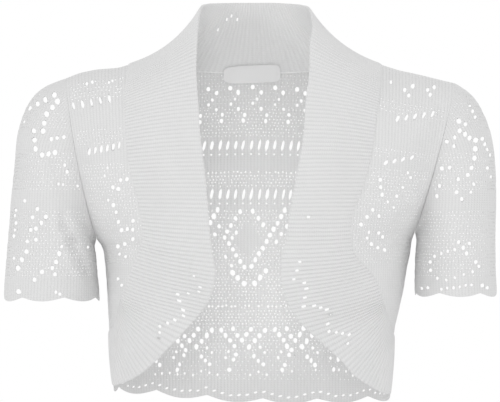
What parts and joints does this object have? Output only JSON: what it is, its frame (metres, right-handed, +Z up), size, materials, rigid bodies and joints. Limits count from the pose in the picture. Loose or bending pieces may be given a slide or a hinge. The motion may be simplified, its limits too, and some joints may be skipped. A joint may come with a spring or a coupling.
{
  "type": "knitted shrug",
  "caption": "Short-sleeved open-front lace knit shrug in its worn shape, with a wide ribbed band round the fronts and neck.",
  "frame": {"origin": "midway between the shoulders at the level of the neck seam, where the wearer carries it", "axes": "+X to the right seen from the front, +Y to the back, +Z up"},
  "size_m": [0.4925, 0.2203, 0.4037],
  "materials": {
    "lace_knit": "matt knitted yarn",
    "rib_knit": "matt ribbed yarn",
    "label_cloth": "smooth woven tape"
  },
  "bodies": {
    "root": {"back_panel": "lace_knit", "front_left": "lace_knit", "front_right": "lace_knit", "sleeve_left_front": "lace_knit", "sleeve_left_back": "lace_knit", "sleeve_right_front": "lace_knit", "sleeve_right_back": "lace_knit", "band_left": "rib_knit", "band_right": "rib_knit", "band_back": "rib_knit", "neck_label": "label_cloth"}
  },
  "joints": []
}
